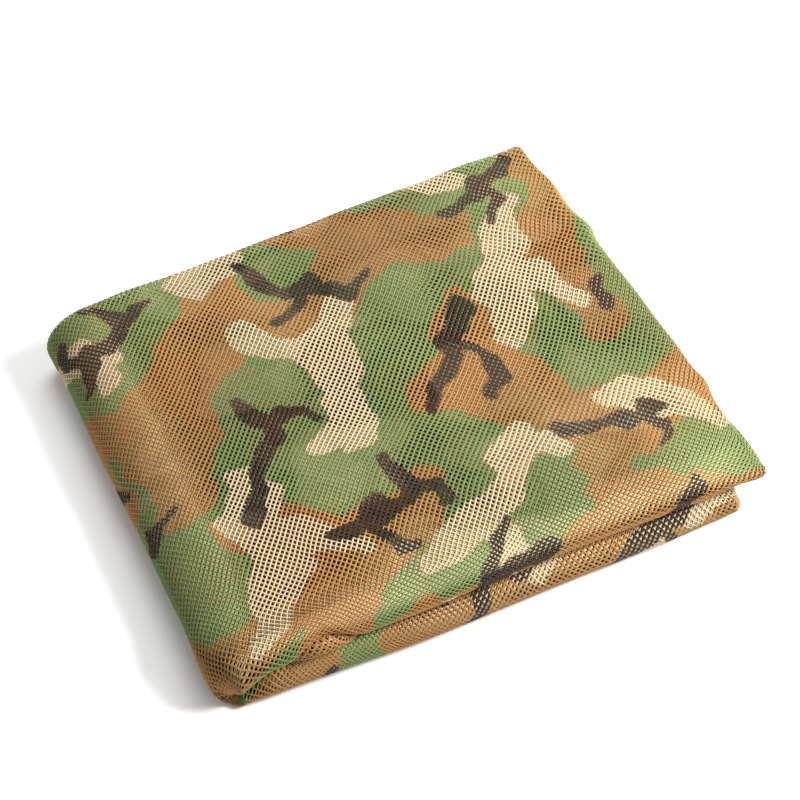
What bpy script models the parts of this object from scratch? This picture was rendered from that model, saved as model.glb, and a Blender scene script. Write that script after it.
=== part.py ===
"""Camouflage net, folded into a flat pack.

One cut length of warp-knitted mesh.  It is folded lengthwise by three
halvings into a strip of eight layers, and the strip is folded once more
across its middle, so that an upper packet lies on a lower one and the last
fold is a smooth wrap at the left.  Metres, +Z up, +X along the front edge,
+Y to the back, origin at the middle of the pack's foot.
"""

import bmesh
import bpy
import numpy as np

MM = 0.001

# the cloth and its layers
SHEET = 1.1 * MM            # thickness of one layer, loft of the mesh included
PITCH = 2.3 * MM            # from one layer of a packet to the next
STACK = (1, 8, 5, 4, 3, 6, 7, 2)  # place of each panel above the middle plane

# the pack in plan
HALF_DEPTH = 131.0 * MM     # middle line to the front roll
BEND_X = -124.0 * MM        # line about which the strip is folded in two
BEND_REACH = 1.55           # the left wrap is this much longer than it is high
UPPER_END = 156.0 * MM      # right end of the upper packet
LOWER_END = 155.5 * MM      # right end of the lower packet

# heights
MIDDLE = 7.5 * PITCH + SHEET / 2    # plane between the two packets, unpressed
TOP = 38.0 * MM             # finished height at the middle of the pack
CREASE = 17.5 * MM          # finished height of the crease between the packets

# how finely the faces follow the cloth
PANEL_STEPS = 6             # across one panel
WIDE_FOLD_STEPS = 5         # round a fold that wraps other folds
TIGHT_FOLD_STEPS = 4        # round an innermost fold
UPPER_STEPS = 10            # along the upper packet
WRAP_STEPS = 8              # round the left wrap
LOWER_STEPS = 8             # along the lower packet

# soft ridges and troughs of the top: middle, heading, half length, half
# width and rise
RIPPLE_COLUMNS = ("x_mm", "y_mm", "heading_deg", "length_mm", "width_mm", "rise_mm")
RIPPLES = (
    (-62.0, 78.0, -38.0, 60.0, 17.0, 1.5),
    (28.0, 70.0, -62.0, 62.0, 18.0, 1.6),
    (-100.0, 10.0, 78.0, 80.0, 18.0, -1.3),
    (20.0, -50.0, 12.0, 90.0, 22.0, -1.2),
    (112.0, -96.0, 18.0, 45.0, 14.0, 1.3),
)


def ease(value, start, stop):
    """Smooth step from 0 at start to 1 at stop."""
    t = np.clip((value - start) / (stop - start), 0.0, 1.0)
    return t * t * (3.0 - 2.0 * t)


def section():
    """Cut through the strip: place across, height and unit tangent of each point.

    Panels run between the back and the front in turn; a half circle joins
    each to the next.
    """
    turn = HALF_DEPTH - 3.5 * PITCH
    places, heights, across, rises = [], [], [], []
    for panel, place in enumerate(STACK):
        height = (place - 0.5) * PITCH
        heading = -1.0 if panel % 2 == 0 else 1.0
        steps = np.linspace(-1.0, 1.0, PANEL_STEPS + 1)
        places.extend(heading * turn * steps)
        heights.extend(np.full(steps.size, height))
        across.extend(np.full(steps.size, heading))
        rises.extend(np.zeros(steps.size))
        if panel + 1 == len(STACK):
            break
        after = (STACK[panel + 1] - 0.5) * PITCH
        radius = abs(after - height) / 2
        climb = np.sign(after - height)
        count = WIDE_FOLD_STEPS if radius > PITCH else TIGHT_FOLD_STEPS
        angle = np.linspace(0.0, np.pi, count + 1)[1:-1]
        places.extend(heading * (turn + radius * np.sin(angle)))
        heights.extend((height + after) / 2 - climb * radius * np.cos(angle))
        across.extend(heading * np.cos(angle))
        rises.extend(climb * np.sin(angle))
    return tuple(np.array(column) for column in (places, heights, across, rises))


def strip(place, height, across, rise):
    """Lay the section along the folded strip.

    Returns points and the two tangents, each of shape (section, station, 3),
    before the pack is pressed into shape.
    """
    run = np.linspace(0.0, 1.0, UPPER_STEPS + 1)[:-1] ** 1.35
    turn = np.linspace(0.0, 1.0, WRAP_STEPS + 1)
    back = np.linspace(0.0, 1.0, LOWER_STEPS + 1)[1:]
    stations = run.size + turn.size + back.size
    angle = np.concatenate([0.0 * run, np.pi * turn, np.pi + 0.0 * back])
    bending = np.concatenate([0.0 * run, 0.0 * turn + 1.0, 0.0 * back])
    shape = (place.size, stations)

    y = np.broadcast_to(place[:, None], shape)
    w = np.broadcast_to(height[:, None], shape)
    upper_end, lower_end = right_ends(y, w)
    upper_x = upper_end[:, :run.size] * (1.0 - run) + BEND_X * run
    lower_x = lower_end[:, -back.size:] * back + BEND_X * (1.0 - back)
    wrap_x = BEND_X - BEND_REACH * w[:, :turn.size] * np.sin(np.pi * turn)
    x = np.concatenate([upper_x, wrap_x, lower_x], axis=1)
    z = MIDDLE + w * np.cos(angle)

    # the wrap is narrower than the packets: its two ends are rounded
    tuck = 1.0 - np.where(y < 0, 0.055, 0.035) * np.sin(angle) ** 2
    points = np.stack([x, y * tuck, z], axis=-1)

    out = np.stack([-BEND_REACH * np.sin(angle), 0.0 * angle, np.cos(angle)], axis=-1)
    tangent_across = rise[:, None, None] * out[None]
    tangent_across[..., 1] += across[:, None]
    along_x = np.where(bending > 0, -BEND_REACH * np.cos(angle), np.where(angle > 1, 1.0, -1.0))
    along_z = np.where(bending > 0, -np.sin(angle), 0.0)
    along = np.stack([along_x, 0.0 * angle, along_z], axis=-1)
    tangent_along = np.broadcast_to(along[None], points.shape)
    return points, tangent_across, tangent_along


def right_ends(y, w):
    """Where the layers of each packet stop at the right: the cut ends do not line up."""
    wander = 1.2 * MM * np.sin(y / (31.0 * MM) + w / (1.9 * MM))
    upper = UPPER_END + wander
    slip = 14.0 * MM * ease(-y, 70 * MM, 131 * MM) + 7.0 * MM * ease(y, 85 * MM, 131 * MM)
    tabs = 4.5 * MM * np.exp(-((y - 72 * MM) / (15 * MM)) ** 2)
    tabs = tabs + 4.0 * MM * np.exp(-((y + 62 * MM) / (11 * MM)) ** 2)
    lower = LOWER_END + wander + tabs - slip
    return upper, lower


def press(points):
    """Press the stack into the shape of the finished pack."""
    x, y, z = points[..., 0], points[..., 1], points[..., 2]

    # finished heights of the top and of the crease between the packets
    left, right = ease(-x, 60 * MM, 150 * MM), ease(x, 95 * MM, 156 * MM)
    front = ease(-y, 90 * MM, 131 * MM)
    nearer = ease(-y, -110 * MM, 110 * MM)
    top = TOP - 1.0 * MM * left - 2.5 * MM * right - (3.0 * left + 5.0 * right) * MM * nearer
    crease = CREASE - 5.5 * MM * left * front - 3.0 * MM * right
    foot = SHEET / 2
    lower = foot + (z - foot) * (crease - foot) / (MIDDLE - foot)
    upper = crease + (z - MIDDLE) * (top - crease) / (2 * MIDDLE - MIDDLE)
    new_z = np.where(z < MIDDLE, lower, upper)

    # ripples, strongest on the top and gone at the foot
    lift = ease(z, 0.4 * MIDDLE, 2 * MIDDLE)
    for ripple in RIPPLES:
        name = dict(zip(RIPPLE_COLUMNS, ripple))
        heading = np.radians(name["heading_deg"])
        dx, dy = x - name["x_mm"] * MM, y - name["y_mm"] * MM
        along = dx * np.cos(heading) + dy * np.sin(heading)
        aside = dy * np.cos(heading) - dx * np.sin(heading)
        bump = np.exp(-(along / (name["length_mm"] * MM)) ** 2 - (aside / (name["width_mm"] * MM)) ** 2)
        new_z = new_z + name["rise_mm"] * MM * lift * bump

    # the outline is a little out of square, and the lower packet spreads
    high = ease(z, 0.7 * MIDDLE, 1.3 * MIDDLE)
    back = ease(y, -40 * MM, 131 * MM)
    new_y = y + 0.050 * (x + 10 * MM) * back + 9.5 * MM * back
    new_y = new_y + 2.5 * MM * high * ease(-y, 90 * MM, 131 * MM)
    new_y = new_y + 0.8 * MM * np.sin(x / (38.0 * MM)) * ease(-y, 60 * MM, 131 * MM)
    new_x = x + 1.5 * MM * np.sin(y / (52.0 * MM) + 0.6) * (0.4 + 0.6 * high)
    return np.stack([new_x, new_y, new_z], axis=-1)


def sheet_faces(rows, columns):
    """Quads of a closed sheet: both sides of a grid and its four rims."""
    index = np.arange(rows * columns).reshape(rows, columns)
    upper = np.stack([index[:-1, :-1], index[1:, :-1], index[1:, 1:], index[:-1, 1:]], axis=-1)
    lower = upper[..., ::-1] + rows * columns
    faces = [upper.reshape(-1, 4), lower.reshape(-1, 4)]
    for rim in (index[:, 0][::-1], index[-1][::-1], index[:, -1], index[0]):
        under = rim + rows * columns
        faces.append(np.stack([rim[:-1], rim[1:], under[1:], under[:-1]], axis=-1))
    return np.concatenate(faces)


def fabric(name, colour, roughness):
    """Plain cloth material."""
    material = bpy.data.materials.new(name)
    material.use_nodes = True
    shader = material.node_tree.nodes["Principled BSDF"]
    shader.inputs["Base Color"].default_value = (*colour, 1.0)
    shader.inputs["Roughness"].default_value = roughness
    return material


def folded_net():
    """The net: one closed sheet that follows every fold of the pack."""
    points, across, along = strip(*section())
    probe = 0.02 * MM
    middle = press(points)
    slope_across = press(points + probe * across) - press(points - probe * across)
    slope_along = press(points + probe * along) - press(points - probe * along)
    normal = np.cross(slope_across, slope_along)
    normal /= np.linalg.norm(normal, axis=-1, keepdims=True)
    rows, columns = middle.shape[:2]
    sides = np.concatenate([
        (middle + normal * SHEET / 2).reshape(-1, 3),
        (middle - normal * SHEET / 2).reshape(-1, 3),
    ])
    low, high = sides.min(axis=0), sides.max(axis=0)
    sides -= [(low[0] + high[0]) / 2, (low[1] + high[1]) / 2, low[2]]

    mesh = bpy.data.meshes.new("net_cloth")
    mesh.from_pydata(sides.tolist(), [], sheet_faces(rows, columns).tolist())
    work = bmesh.new()
    work.from_mesh(mesh)
    bmesh.ops.recalc_face_normals(work, faces=work.faces)
    bmesh.ops.triangulate(work, faces=work.faces)
    work.to_mesh(mesh)
    work.free()
    mesh.materials.append(fabric("camouflage_mesh", (0.16, 0.19, 0.08), 0.85))
    cloth = bpy.data.objects.new("net_cloth", mesh)
    bpy.context.scene.collection.objects.link(cloth)
    return cloth


def main():
    for leftover in list(bpy.data.objects):
        bpy.data.objects.remove(leftover, do_unlink=True)
    folded_net()


main()
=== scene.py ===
"""Camouflage net, folded: the looks of the pack.

One length of printed warp-knitted mesh lies folded in sixteen layers.  The
outermost layer and the one under it are open net, knot by knot; the layers
inside are thin sheets on the same folds.  Points are worked out on the flat
cloth, in millimetres, and folded up by fold_up().
"""

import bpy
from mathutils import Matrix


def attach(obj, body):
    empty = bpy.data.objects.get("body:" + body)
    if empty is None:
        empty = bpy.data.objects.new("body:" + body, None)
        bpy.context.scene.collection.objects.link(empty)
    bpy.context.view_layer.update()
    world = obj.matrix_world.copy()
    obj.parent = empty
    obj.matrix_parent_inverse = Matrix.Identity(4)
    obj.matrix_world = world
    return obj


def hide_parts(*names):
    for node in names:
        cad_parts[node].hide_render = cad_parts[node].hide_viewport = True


bl_info = {
    "name": "Folded camouflage net",
    "version": (1, 0, 0),
    "blender": (4, 5, 0),
    "location": "3D View > Sidebar > Net",
    "description": "Knitted mesh, print and stage for a folded camouflage net",
    "category": "Object",
}

import bpy
import numpy as np
from mathutils import Matrix, Vector

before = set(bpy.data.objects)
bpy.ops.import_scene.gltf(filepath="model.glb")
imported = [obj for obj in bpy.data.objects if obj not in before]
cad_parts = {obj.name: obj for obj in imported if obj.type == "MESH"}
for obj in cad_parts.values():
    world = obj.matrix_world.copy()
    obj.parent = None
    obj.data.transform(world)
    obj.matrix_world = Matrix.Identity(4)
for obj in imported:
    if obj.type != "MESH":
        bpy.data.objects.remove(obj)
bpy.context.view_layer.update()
NODE = "net_cloth"

MM = 0.001

# -------- the pack
# the folds, as in the solid
PITCH = 2.3                 # from one layer of a packet to the next
HALF_SHEET = 0.55           # half the thickness of the solid's sheet
STACK = (1, 8, 5, 4, 3, 6, 7, 2)  # place of each panel above the middle plane
WIDEST_FOLD = (len(STACK) - 1) / 2 * PITCH   # radius of the outermost fold
HALF_DEPTH = 131.0          # middle line to the front roll
TURN = HALF_DEPTH - WIDEST_FOLD   # where a panel ends and its fold begins
MIDDLE = (len(STACK) - 0.5) * PITCH + HALF_SHEET  # plane between the packets, unpressed
BEND_X = -124.0             # line about which the strip is folded in two
BEND_REACH = 1.55           # reach of the left wrap for each mm of its height
UPPER_END = 153.5           # right end of the upper packet
LOWER_END = 153.0           # right end of the lower packet
TOP = 38.0                  # finished height at the middle of the pack
CREASE = 17.5               # finished height of the crease between the packets
UNDERSIDE = 0.75            # finished height of the lowest layer
THINNEST = 4.0              # least height of the upper packet, at its front right tip
FOOT = (3.86, 6.28)         # middle of the footprint, in the fold's own frame

# the cut ends at the right
END_WANDER = 1.2            # how far they wander from layer to layer
END_OVERHANG = 1.2          # how far the upper ones lie past UPPER_END
END_BULGES = ((2.6, 58, 8), (2.8, -61, 10), (1.3, -38, 18), (2.0, 92, 10))  # rise, y, width
END_SLIPS = (13.9, 7.0)     # how far the lower ones have slipped back, at front and back
END_ROUNDS = (1.8, 0.3)     # how far the upper corners are rounded, at front and back

# the bend line; a step is a move with its start and stop towards the front
BEND_SHIFT = 0.8
BEND_STEPS = ((1.8, -60, 60), (1.2, 60, 120), (-10.5, 82, 129), (-5.0, 112, 131))
BEND_BULGES = ((0.9, 86, 28), (-0.9, -104, 14))  # move, y, width
REACH_STEPS = ((0.50, 82, 129), (0.42, 112, 131))  # by which BEND_REACH is less
TUCKS = (0.055, 0.010)      # share by which the wrap is drawn in, at front and back

# how the finished heights differ from TOP and CREASE
TOP_LOWER = {"left": 1.0, "right": 2.5, "front left": 3.0, "front right": 5.0}
CREASE_LOWER = {"front left": 2.5, "right": 3.0, "corner": 11.5}
CREASE_HIGHER = {"front": 3.5, "front right": 1.0}
OPENING = {"tip": 9.0, "right": 2.0}  # underside of the upper packet over the crease
DROOP = 3.0                 # of the top layers over the front edge

# soft ridges and troughs of the top: x, y, heading in degrees, length, width, rise
RIPPLES = (
    (-62.0, 78.0, -38.0, 60.0, 17.0, 1.95),
    (28.0, 70.0, -62.0, 62.0, 18.0, 2.08),
    (-100.0, 10.0, 78.0, 80.0, 18.0, -1.69),
    (20.0, -50.0, 12.0, 90.0, 22.0, -1.56),
    (112.0, -96.0, 18.0, 45.0, 14.0, 1.69),
)
SWELL = ((0.60, (13, 29, 0.0), (-47, 19, 1.1)), (0.40, (9, -15, 2.0), (31, 11, 0.0)))

# the outline from above; a step is a move with its start and stop in x
BACK_OUT, BACK_SKEW = 10.0, 0.050   # the back edge stands out, more so to the right
BACK_STEPS = ((2.2, -30, 60), (3.2, 85, 125))
TOP_IN = 2.5                # the upper packet is drawn in at the front
FOOT_IN = 1.4               # and the lower one near the wrap
FOOT_STEPS = ((3.2, 80, 150), (-0.9, -110, -60))
FRONT_WANDER, ENDS_WANDER = 0.8, 1.5
CORNER_IN, CORNER_OUT = 4.0, 0.5    # foot and upper wrap at the front left corner

# the small pleat under the front roll of the upper packet: a groove along an
# arch, and the cloth under it that stands out
PLEAT_START, PLEAT_LENGTH, PLEAT_HEIGHT = -116.0, 48.0, 10.0
GROOVE_DEPTH, GROOVE_WIDTH = 4.0, 2.2
PLEAT_OUT, PLEAT_BELOW, PLEAT_WIDTH = 2.2, -4.8, 2.8


def ease(value, start, stop):
    """Smooth step: 0 before start, 1 after stop, 3t^2 - 2t^3 between."""
    t = np.clip((value - start) / (stop - start), 0.0, 1.0)
    return t * t * (3.0 - 2.0 * t)


def between(value, start, full, fading, stop):
    """Smooth rise from start to full and smooth fall from fading to stop."""
    return ease(value, start, full) * (1.0 - ease(value, fading, stop))


def hill(value, middle, width):
    """Bell of height 1: e to the minus square of the distance in widths."""
    return np.exp(-((value - middle) / width) ** 2)


def steps(value, rows):
    """Sum of smooth steps, each a move with its start and stop."""
    return sum(move * ease(value, start, stop) for move, start, stop in rows)


def hills(value, rows):
    """Sum of bells, each a rise with its place and width."""
    return sum(rise * hill(value, place, width) for rise, place, width in rows)


def ramp(value, softness):
    """Twice the value where it is above 0, nothing below, rounded between."""
    return value + np.hypot(value, softness)


def turned(x, y, degrees):
    """The same place in axes that are turned by this angle."""
    cos, sin = np.cos(np.radians(degrees)), np.sin(np.radians(degrees))
    return x * cos + y * sin, y * cos - x * sin


def waves(u, v, rows):
    """Sum of soft waves: a size, and two sines by their mm a radian along u and v and start."""
    total = 0.0
    for size, (u1, v1, start1), (u2, v2, start2) in rows:
        total = total + size * np.sin(u / u1 + v / v1 + start1) * np.sin(u / u2 + v / v2 + start2)
    return total


def section_line():
    """The cut through the strip as a dense line.

    Straight panels of 2 TURN, joined by half circles whose radius is half
    the difference of the heights of the panels that they join.  Returns the
    distance along the cloth, the place across, the height and the two parts
    of the normal, and for each panel the distances where it starts and stops.
    """
    step, travelled = 0.1, 0.0
    stretches, spans = [], []
    for panel, place in enumerate(STACK):
        height = (place - 0.5) * PITCH
        heading = -1.0 if panel % 2 == 0 else 1.0
        run = np.arange(0.0, 2 * TURN, step)
        stretches.append((travelled + run, heading * (run - TURN), np.full(run.size, height)))
        spans.append((travelled, travelled + 2 * TURN))
        travelled += 2 * TURN
        if panel + 1 < len(STACK):
            after = (STACK[panel + 1] - 0.5) * PITCH
            radius = abs(after - height) / 2
            run = np.arange(0.0, np.pi * radius, step)
            angle = run / radius
            stretches.append((
                travelled + run, heading * (TURN + radius * np.sin(angle)),
                (height + after) / 2 - (after - height) / 2 * np.cos(angle)))
            travelled += np.pi * radius
    run, place, height = np.concatenate(stretches, axis=1)
    across, rise = np.gradient(place, run), np.gradient(height, run)
    return (run, place, height, -rise, across), spans


def wrap_line():
    """Half an ellipse round the left wrap: distance along it and turned angle.

    Its half axes are the outermost layer's height, and BEND_REACH times that.
    """
    height = (len(STACK) - 0.5) * PITCH
    angle = np.linspace(0.0, np.pi, 2001)
    step = np.hypot(BEND_REACH * height * np.cos(angle), height * np.sin(angle))
    run = np.concatenate([[0.0], np.cumsum((step[1:] + step[:-1]) / 2 * np.diff(angle))])
    return run, angle


(SECTION_RUN, *SECTION), PANELS = section_line()
WRAP_RUN, WRAP_ANGLE = wrap_line()
UPPER_RUN = UPPER_END - BEND_X    # from the right end to the wrap
LOWER_START = UPPER_RUN + WRAP_RUN[-1]
STRIP_RUN = LOWER_START + LOWER_END - BEND_X
PACKET_MIDDLE = len(STACK) / 2 * PITCH   # height of a packet's own middle plane
END_RUN, END_REACH = 9.5, 3.5    # the outermost layer closes over the cut ends
CLOSED = np.radians(80.0)        # how far it has turned there
CLOTH_WIDTH = SECTION_RUN[-1]
MID_ACROSS = sum(PANELS[1]) / 2   # middle of the top layer, across the cloth


def right_ends(y, w):
    """Where each upper and each lower layer stops at the right.

    The cut ends do not line up: they wander from layer to layer and bulge,
    the lower ones have slipped back towards the corners, and the upper
    ones are a little rounded there.
    """
    shared = END_WANDER * np.sin(y / 31.0 + w / 1.9) + hills(y, END_BULGES)
    slip = END_SLIPS[0] * ease(-y, 70, HALF_DEPTH) + END_SLIPS[1] * ease(y, 85, HALF_DEPTH)
    rounded = END_ROUNDS[0] * ease(-y, 112, HALF_DEPTH) + END_ROUNDS[1] * ease(y, 120, HALF_DEPTH)
    return UPPER_END + END_OVERHANG + shared - rounded, LOWER_END + shared - slip


def lay(along, across, raised=0.0):
    """Flat cloth to the folded strip, before it is pressed.

    Across the cloth the section line gives place and height, moved by
    raised along its normal; along it a straight run, half an ellipse about
    the bend line and a straight run back carry the section round the left
    wrap.  Past either end the section closes towards the middle of its
    packet along a quarter of an ellipse.  The bend line runs out to the
    left at the front corner, where the wrap is less deep.
    """
    y, w, normal_y, normal_w = (np.interp(across, SECTION_RUN, column) for column in SECTION)
    y, w = y + raised * normal_y, w + raised * normal_w
    past = np.maximum(-along, 0.0) + np.maximum(along - STRIP_RUN, 0.0)
    along = np.clip(along, 0.0, STRIP_RUN)
    closing = past / END_RUN * CLOSED
    w = PACKET_MIDDLE + (w - PACKET_MIDDLE) * np.cos(closing)
    y = np.clip(y, -TURN, TURN) + (y - np.clip(y, -TURN, TURN)) * np.cos(closing)
    angle = np.interp(along - UPPER_RUN, WRAP_RUN, WRAP_ANGLE)
    bend = BEND_X + BEND_SHIFT + steps(-y, BEND_STEPS) + hills(y, BEND_BULGES)
    reach = BEND_REACH - steps(-y, REACH_STEPS)
    upper_end, lower_end = right_ends(y, w)
    upper = 1.0 - along / UPPER_RUN
    lower = (along - LOWER_START) / (STRIP_RUN - LOWER_START)
    x = bend + (upper_end - bend) * np.maximum(upper, 0.0)
    x = x + (lower_end - bend) * np.maximum(lower, 0.0)
    x = x - reach * w * np.sin(angle) + END_REACH * np.sin(closing)
    z = MIDDLE + w * np.cos(angle)
    tuck = 1.0 - np.where(y < 0, *TUCKS) * np.sin(angle) ** 2
    return x, y * tuck, z


def press(x, y, z):
    """Press the folded strip into the finished pack.

    The heights are scaled piece by piece to the finished top and crease,
    soft ridges are added that fade to nothing at the foot, the top layers
    droop over the front edge, less so at the right, and the outline is
    eased out of square.
    """
    left, right = ease(-x, 60, 150), ease(x, 95, 156)
    front, nearer = ease(-y, 90, HALF_DEPTH), ease(-y, -110, 110)
    corner = ease(-x, 118, 142) * ease(-y, 96, 128)
    top = TOP - TOP_LOWER["left"] * left - TOP_LOWER["right"] * right
    top = top - (TOP_LOWER["front left"] * left + TOP_LOWER["front right"] * right) * nearer
    crease = CREASE - CREASE_LOWER["front left"] * left * front
    crease = crease - CREASE_LOWER["right"] * right - CREASE_LOWER["corner"] * corner
    raised = CREASE_HIGHER["front"] + CREASE_HIGHER["front right"] * ease(x, 95, 135)
    crease = crease + raised * ease(-y, 60, 120) * (1.0 - corner)
    under = crease + OPENING["tip"] * ease(x, 115, 151) * ease(-y, 60, 125) + OPENING["right"] * right
    under = np.minimum(under, top - THINNEST)
    lower = UNDERSIDE + (z - UNDERSIDE) * (crease - UNDERSIDE) / (MIDDLE - UNDERSIDE)
    upper = under + (z - MIDDLE) * (top - under) / MIDDLE
    new_z = np.where(z < MIDDLE, lower, upper)

    lift = ease(z, 0.4 * MIDDLE, 2 * MIDDLE)
    for mid_x, mid_y, heading, length, width, rise in RIPPLES:
        along, aside = turned(x - mid_x, y - mid_y, heading)
        new_z = new_z + rise * lift * hill(along, 0.0, length) * hill(aside, 0.0, width)
    new_z = new_z + waves(x, y, SWELL) * lift
    share = np.clip((z - MIDDLE) / MIDDLE, 0.0, 1.0)
    new_z = new_z - DROOP * ease(-y, 92, 129) * (1.0 - 0.6 * right) * share ** 1.5

    high = ease(z, 0.7 * MIDDLE, 1.3 * MIDDLE)
    back_out = BACK_OUT + BACK_SKEW * x + steps(x, BACK_STEPS)
    foot_in = FOOT_IN * between(x, -142, -124, -80, -30) + steps(x, FOOT_STEPS)
    new_y = y + back_out * ease(y, -40, HALF_DEPTH)
    new_y = new_y + (TOP_IN * high + foot_in * (1.0 - high)) * front
    new_y = new_y + FRONT_WANDER * np.sin(x / 38.0) * ease(-y, 60, HALF_DEPTH)

    # at the front left corner the upper wrap comes down to the foot
    tucked = CORNER_IN * ease(MIDDLE - z, 0.0, 9.0) - CORNER_OUT * ease(z - MIDDLE, 0.0, 9.0)
    new_y = new_y + tucked * corner * ease(-y, 108, HALF_DEPTH)

    arch = np.sin(np.pi * np.clip((x - PLEAT_START) / PLEAT_LENGTH, 0.0, 1.0))
    above = new_z - crease - PLEAT_HEIGHT * arch
    pleat = GROOVE_DEPTH * hill(above, 0.0, GROOVE_WIDTH)
    pleat = pleat - PLEAT_OUT * hill(above, PLEAT_BELOW, PLEAT_WIDTH)
    new_y = new_y + pleat * arch ** 0.8 * ease(-y, 106, 124) * (z > MIDDLE)
    new_x = x + ENDS_WANDER * np.sin(y / 52.0 + 0.6) * (0.4 + 0.6 * high)
    return np.stack([new_x - FOOT[0], new_y - FOOT[1], new_z], axis=-1)


def fold_up(along, across, lift, side, raised=0.0):
    """Points of the folded cloth, lift off it along its normal.

    The normal is the cross product of the slopes across and along the
    cloth, each taken over a small step, times side.  The cloth itself is
    first moved by raised, to that side, within the stack.
    """
    probe, raised = 0.4, raised * side
    ahead, behind, right, left = (
        press(*lay(along + step_along, across + step_across, raised))
        for step_along, step_across in ((probe, 0.0), (-probe, 0.0), (0.0, probe), (0.0, -probe)))
    normal = np.cross(right - left, ahead - behind) * side
    normal /= np.maximum(np.linalg.norm(normal, axis=-1, keepdims=True), 1e-9)
    return press(*lay(along, across, raised)) + normal * np.asarray(lift)[..., None]


# -------- the print
# A generic woodland print: brown lobes, pale islands and dark branching
# strokes on green.  A motif is a set of chains of round brush marks,
# (x, y, radius) in mm; the whole is repeated over the cloth.
REPEAT = (430.0, 390.0)
EDGE_WAVES = ((4.5, 15.0, 1e3), (2.8, 7.1, 16.0), (1.1, 2.9, 5.3))  # size, mm a radian
EDGE_SOFTNESS = 0.7         # an ink's edge fades over this
FADES = {"green": (0.86, 0.24), "brown": (0.80, 0.32)}  # least light, and what comes and goes
BROWN_MOTIFS = {
    "spit": (
        ((-70, -8, 15), (-40, 8, 25), (-4, 2, 22), (30, -12, 26), (62, -6, 15)),
        ((-34, 10, 18), (-26, 40, 15)),
        ((32, -14, 18), (44, -46, 17), (38, -66, 12)),
    ),
    "bay": (
        ((-46, 20, 14), (-14, 8, 22), (20, 14, 19), (48, 34, 14)),
        ((0, 6, 17), (12, -30, 19), (30, -52, 12)),
    ),
    "bar": (((-60, -4, 11), (-22, 7, 16), (18, -4, 13), (58, 8, 11)),),
}
PALE_MOTIFS = {
    "slab": (
        ((-40, 20, 8), (-24, 14, 14), (-8, 2, 9), (6, -10, 16), (12, -30, 11), (24, -46, 9)),
        ((6, -10, 12), (26, -6, 8), (42, 2, 11)),
        ((-24, 14, 10), (-28, 36, 8)),
    ),
    "leaf": (
        ((-34, -10, 8), (-14, -4, 14), (6, 4, 9), (22, 8, 15), (40, 18, 8)),
        ((6, 4, 9), (8, -18, 11), (2, -34, 7)),
    ),
    "islet": (((-14, 0, 8), (6, 4, 13), (24, 14, 8)),),
}
DARK_MOTIFS = {
    "fork": (
        ((-38, -13, 4), (-25, -5, 7), (-10, -3, 5), (2, 6, 8), (15, 6, 5), (28, 14, 7), (38, 17, 4)),
        ((2, 6, 6), (6, -10, 5), (1, -25, 7), (-7, -34, 4)),
    ),
    "crook": (
        ((-36, 12, 4), (-23, 12, 7), (-8, 4, 5), (4, -8, 8), (19, -12, 5), (33, -8, 7), (43, -14, 4)),
        ((19, -12, 5), (23, -27, 6.5), (17, -38, 4)),
    ),
    "drift": (
        ((-44, 4, 4), (-29, 8, 7), (-14, 2, 4.5), (0, -4, 8), (15, -4, 5), (27, -12, 7), (37, -25, 4)),
        ((0, -4, 6), (8, 11, 6), (20, 19, 4)),
    ),
    "twin": (
        ((-34, -19, 4), (-25, -4, 7), (-12, 4, 5), (0, 2, 8), (15, 10, 5), (29, 10, 7), (39, 4, 4)),
        ((-25, -4, 6), (-31, 13, 6.5), (-25, 25, 4)),
        ((15, 10, 5), (13, 25, 6), (6, 34, 4)),
    ),
    "speck": (((-12, 4, 4.5), (0, 0, 7), (12, -6, 4.5)),),
}
# where the motifs lie: name, x, y, turn in degrees, size
BROWN_PLACES = (
    ("spit", -98, 48, 62, 1.05),
    ("bay", 26, 98, 190, 1.1),
    ("spit", 70, -44, 152, 1.0),
    ("bay", -62, -96, 96, 1.05),
    ("bar", -154, -124, 12, 1.3),
    ("bar", 140, 62, 74, 1.2),
    ("bay", 176, -62, 30, 1.1),
    ("bar", 8, -150, 8, 1.2),
    ("spit", 150, 160, 10, 1.0),
    ("bay", -90, 170, 40, 1.1),
    ("bar", -180, -30, 80, 1.4),
    ("bay", 110, -140, 200, 0.9),
)
PALE_PLACES = (
    ("slab", -30, 22, 118, 1.0),
    ("leaf", 94, 42, 40, 1.1),
    ("slab", 22, -92, 262, 0.95),
    ("leaf", -100, -72, 60, 1.15),
    ("islet", -58, 112, 20, 1.1),
    ("islet", 134, -70, 120, 1.2),
    ("slab", 66, 152, 20, 1.0),
    ("leaf", -46, -166, 15, 1.0),
    ("slab", -168, 96, 200, 0.9),
    ("islet", 182, 34, 60, 1.3),
    ("leaf", 74, -172, 170, 0.9),
)
DARK_PLACES = (
    ("fork", 40, 4, 28, 0.95),
    ("crook", -84, -20, 96, 0.9),
    ("drift", -14, 82, 168, 0.9),
    ("twin", -40, -66, 200, 0.9),
    ("drift", 112, 102, 214, 0.75),
    ("crook", 92, -66, 12, 0.8),
    ("twin", -126, 96, 20, 0.8),
    ("speck", 134, 8, 80, 0.9),
    ("speck", -142, -30, 70, 0.8),
    ("fork", 10, -138, 176, 0.85),
    ("drift", 108, -148, 12, 0.85),
    ("crook", -210, -112, 60, 0.85),
    ("twin", 4, 162, 60, 0.85),
    ("fork", -186, 14, 70, 0.9),
)


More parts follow.
